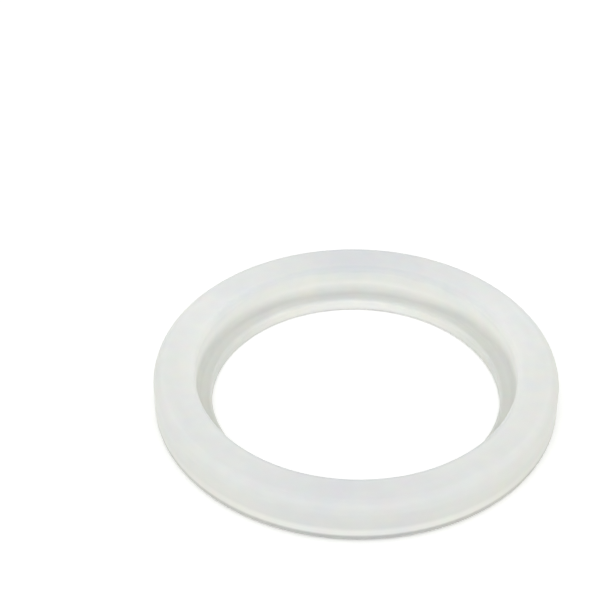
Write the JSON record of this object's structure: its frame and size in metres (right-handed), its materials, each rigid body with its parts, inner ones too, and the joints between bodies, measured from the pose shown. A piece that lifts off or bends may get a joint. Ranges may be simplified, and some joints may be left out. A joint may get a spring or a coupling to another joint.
{
  "type": "group head gasket",
  "caption": "Round silicone sealing ring with a stepped bore: an upright outer wall and a thin lip reaching inward round the foot, for the brew group of an espresso machine.",
  "frame": {"origin": "on the ring's axis, in the plane of the flat underside it lies on", "axes": "+Z along the ring's axis, from the lip's side towards the open mouth of the bore; X and Y across the ring"},
  "size_m": [0.073, 0.073, 0.008],
  "materials": {
    "silicone": "satin, translucent milky white"
  },
  "bodies": {
    "root": {"gasket_ring": "silicone"}
  },
  "joints": []
}
